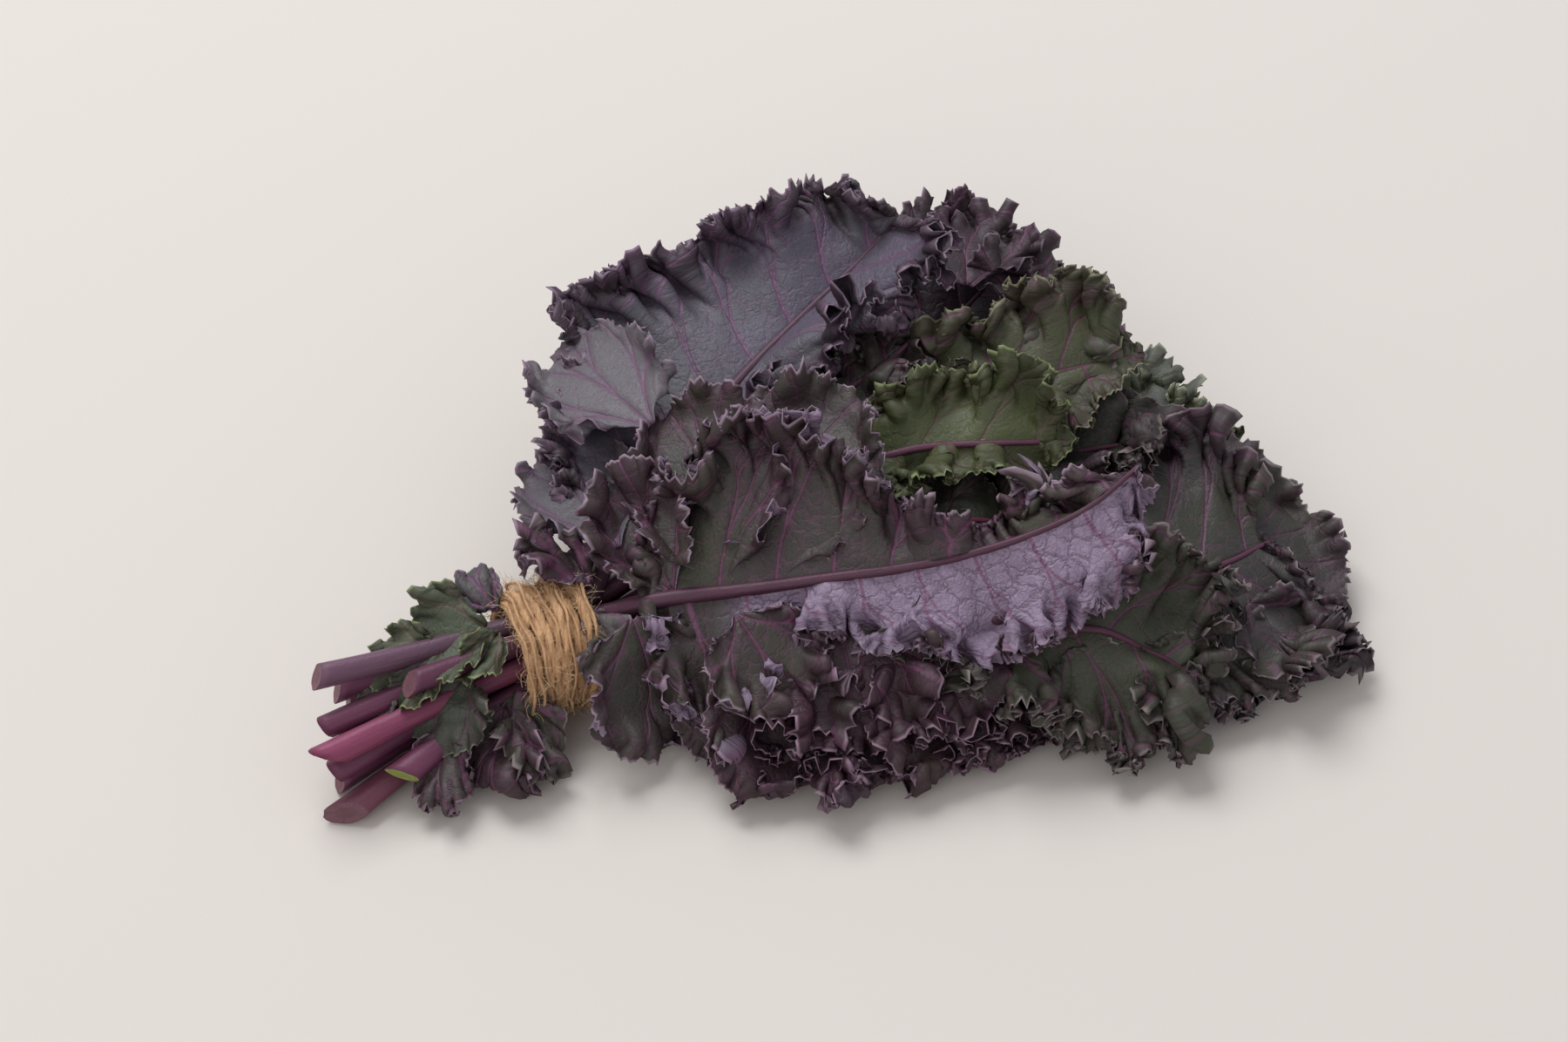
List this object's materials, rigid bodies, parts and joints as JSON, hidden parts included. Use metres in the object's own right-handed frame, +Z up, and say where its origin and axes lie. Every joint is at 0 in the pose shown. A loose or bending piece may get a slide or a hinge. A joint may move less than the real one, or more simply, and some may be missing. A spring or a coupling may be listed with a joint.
{
  "type": "tied bunch of curly kale",
  "caption": "Bunch of purple curly kale lying on its side: frilled leaves on thick cut stems, bound near the cut ends with jute twine.",
  "frame": {"origin": "middle of the footprint, on the surface that the bunch lies on", "axes": "+X along the stems, from the cut ends towards the leaf tips; +Y across the bunch; +Z up"},
  "size_m": [0.379, 0.2506, 0.0934],
  "materials": {
    "kale_leaf": "matte, with a thin waxy bloom",
    "jute_twine": "dry, hairy"
  },
  "bodies": {
    "root": {"far_leaf": "kale_leaf", "front_leaf": "kale_leaf", "back_leaf": "kale_leaf", "right_leaf": "kale_leaf", "fold_leaf": "kale_leaf", "centre_leaf": "kale_leaf", "arch_leaf": "kale_leaf", "dark_leaf": "kale_leaf", "green_leaf": "kale_leaf", "inner_leaf": "kale_leaf", "upper_leaf": "kale_leaf", "top_leaf": "kale_leaf", "twine_binding": "jute_twine"}
  },
  "joints": []
}
